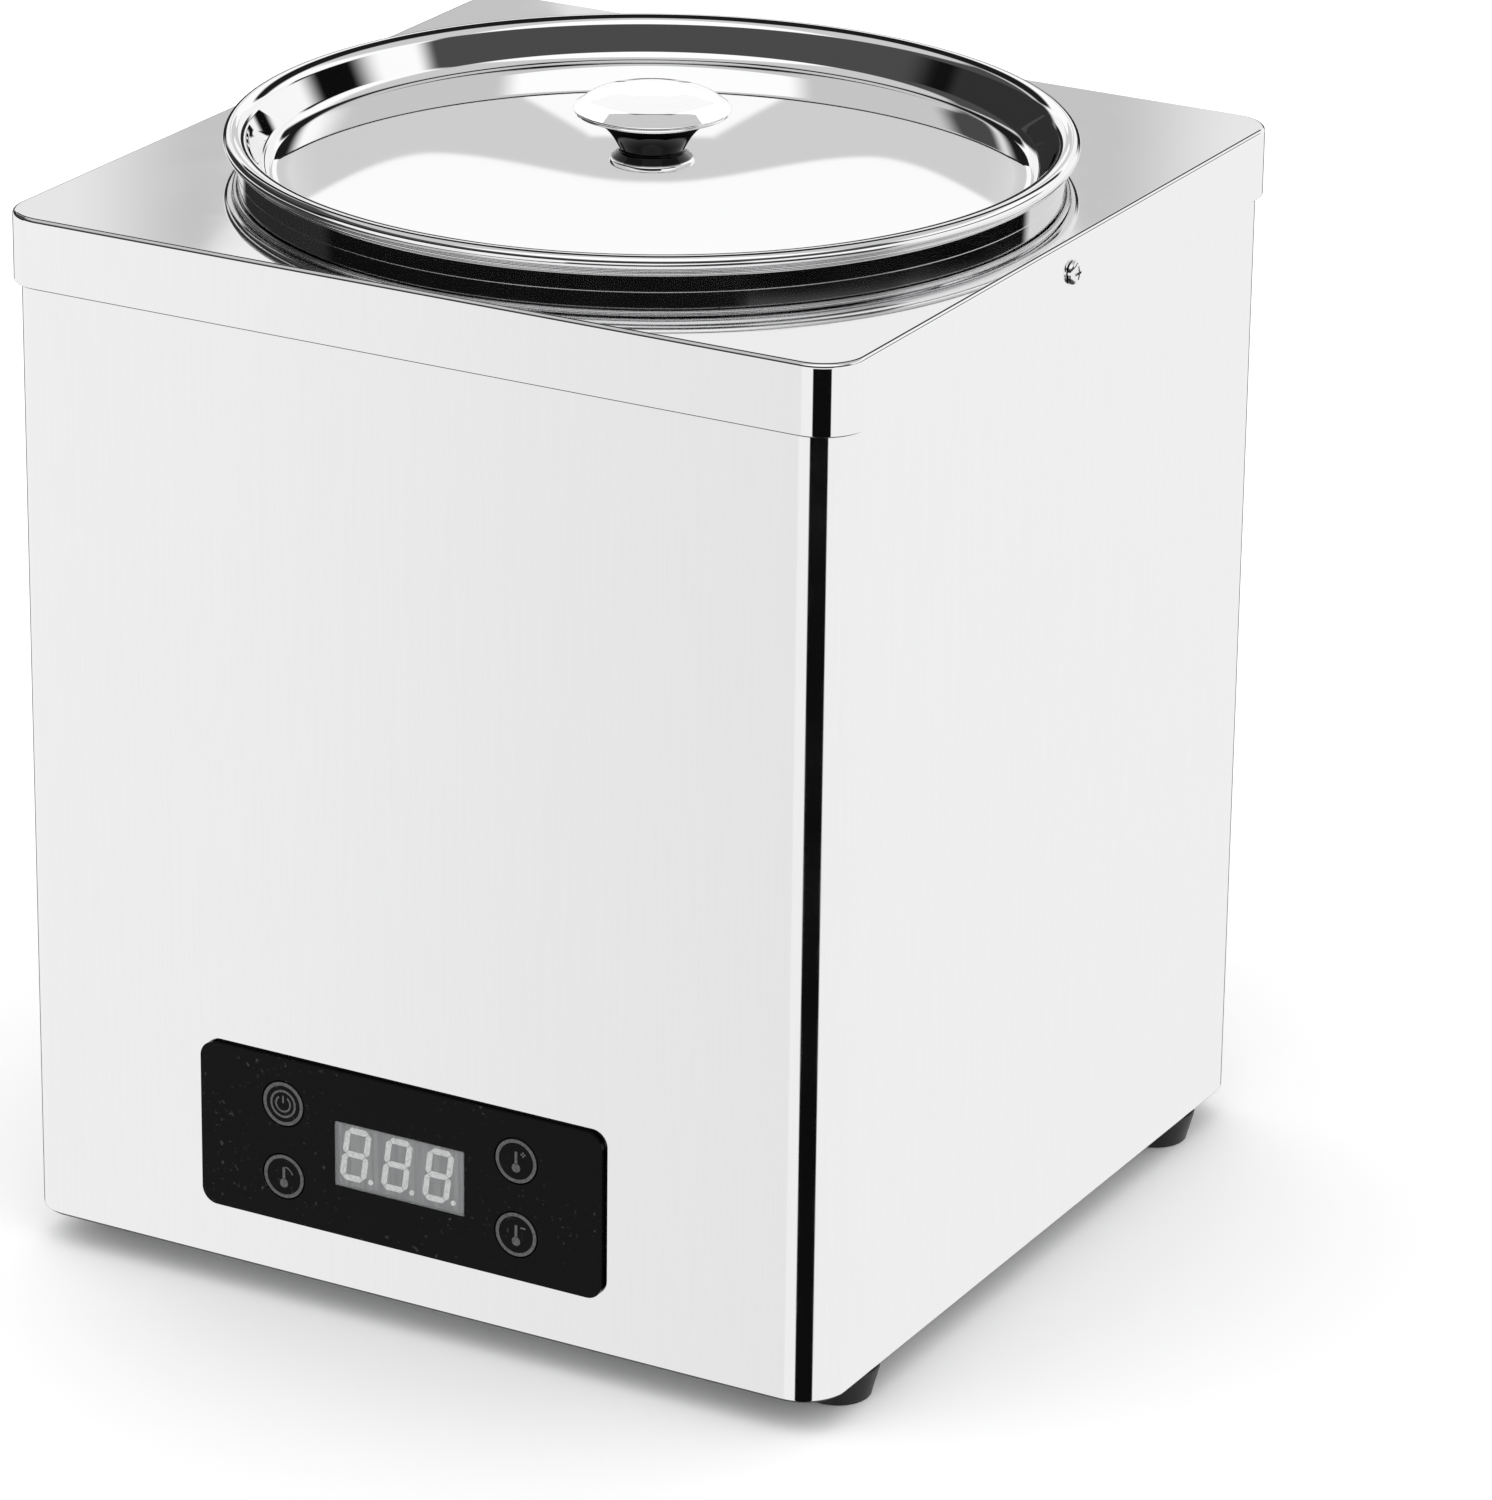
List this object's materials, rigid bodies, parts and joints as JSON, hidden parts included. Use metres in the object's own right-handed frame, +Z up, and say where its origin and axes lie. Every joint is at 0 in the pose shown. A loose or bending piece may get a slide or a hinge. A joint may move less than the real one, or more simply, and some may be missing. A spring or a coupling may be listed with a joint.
{
  "type": "yogurt maker",
  "caption": "Square stainless countertop yogurt maker with a round lidded pot in a heated drum and a low control panel with keys and a display.",
  "frame": {"origin": "on the floor under the middle of the cabinet", "axes": "+Z up, front with the control panel towards -Y, +X to the right seen from the front"},
  "size_m": [0.249, 0.2464, 0.3082],
  "materials": {
    "polished_steel": "polished",
    "lid_steel": "mirror polished",
    "knob_chrome": "mirror polished",
    "pot_steel": "satin inside, polished rim",
    "drum_steel": "satin",
    "plain_steel": "satin",
    "chrome_screws": "polished",
    "heater_plate": "cast",
    "heater_band": "matte",
    "brass": "satin",
    "felt": "felt",
    "foot_rubber": "matte",
    "panel_gloss": "glossy",
    "key_gloss": "glossy with a printed ring",
    "display_glass": "clear",
    "display_face": "matte",
    "circuit_board": "solder mask",
    "terminal_plastic": "moulded",
    "black_plastic": "moulded",
    "inlet_plastic": "moulded",
    "white_plastic": "moulded",
    "fuse_glass": "clear",
    "mains_cable": "sleeved",
    "heater_cable": "sleeved",
    "panel_cable": "sleeved"
  },
  "bodies": {
    "cabinet": {"cabinet_shell": "polished_steel", "top_cover": "polished_steel", "heating_drum": "drum_steel", "base_plate": "plain_steel", "heater_clamp": "plain_steel", "probe_clip": "plain_steel", "cover_nut_right": "plain_steel", "cover_nut_left": "plain_steel", "foot_screw_front_left": "plain_steel", "foot_screw_front_right": "plain_steel", "foot_screw_back_left": "plain_steel", "foot_screw_back_right": "plain_steel", "inlet_screw_left": "plain_steel", "inlet_screw_right": "plain_steel", "cover_screw_right": "chrome_screws", "cover_screw_left": "chrome_screws", "base_heater": "heater_plate", "drum_heater_band": "heater_band", "heater_clamp_nut": "brass", "temperature_probe": "brass", "inlet_pin_line": "brass", "inlet_pin_neutral": "brass", "inlet_pin_earth": "brass", "insulation_sleeve": "felt", "foot_front_left": "foot_rubber", "foot_front_right": "foot_rubber", "foot_back_left": "foot_rubber", "foot_back_right": "foot_rubber", "panel_fascia": "panel_gloss", "display_window": "display_glass", "display_module": "display_face", "power_board": "circuit_board", "control_board": "circuit_board", "terminal_block": "terminal_plastic", "thermal_cutout": "black_plastic", "transformer": "black_plastic", "relay": "black_plastic", "capacitor": "black_plastic", "switch_power": "black_plastic", "switch_timer": "black_plastic", "switch_warmer": "black_plastic", "switch_cooler": "black_plastic", "inlet_housing": "inlet_plastic", "board_rail_left": "white_plastic", "board_rail_right": "white_plastic", "board_spacer_left": "white_plastic", "board_spacer_right": "white_plastic", "fuse": "fuse_glass", "mains_lead": "mains_cable", "heater_lead": "heater_cable", "panel_lead": "panel_cable"},
    "pot": {"inner_pot": "pot_steel"},
    "lid": {"lid": "lid_steel", "lid_knob": "knob_chrome", "knob_screw": "plain_steel"},
    "key_power": {"key_power": "key_gloss"},
    "key_timer": {"key_timer": "key_gloss"},
    "key_warmer": {"key_warmer": "key_gloss"},
    "key_cooler": {"key_cooler": "key_gloss"}
  },
  "joints": [
    {"name": "pot_lift", "type": "slide", "parent": "cabinet", "child": "pot", "axis": [0, 0, 1], "range_m": [0, 0.21]},
    {"name": "lid_lift", "type": "slide", "parent": "pot", "child": "lid", "axis": [0, 0, 1], "range_m": [0, 0.06]},
    {"name": "key_power_press", "type": "slide", "parent": "cabinet", "child": "key_power", "axis": [0, 1, 0], "range_m": [0, 0.0005], "stiffness_N_per_m": 2500},
    {"name": "key_timer_press", "type": "slide", "parent": "cabinet", "child": "key_timer", "axis": [0, 1, 0], "range_m": [0, 0.0005], "stiffness_N_per_m": 2500},
    {"name": "key_warmer_press", "type": "slide", "parent": "cabinet", "child": "key_warmer", "axis": [0, 1, 0], "range_m": [0, 0.0005], "stiffness_N_per_m": 2500},
    {"name": "key_cooler_press", "type": "slide", "parent": "cabinet", "child": "key_cooler", "axis": [0, 1, 0], "range_m": [0, 0.0005], "stiffness_N_per_m": 2500}
  ]
}
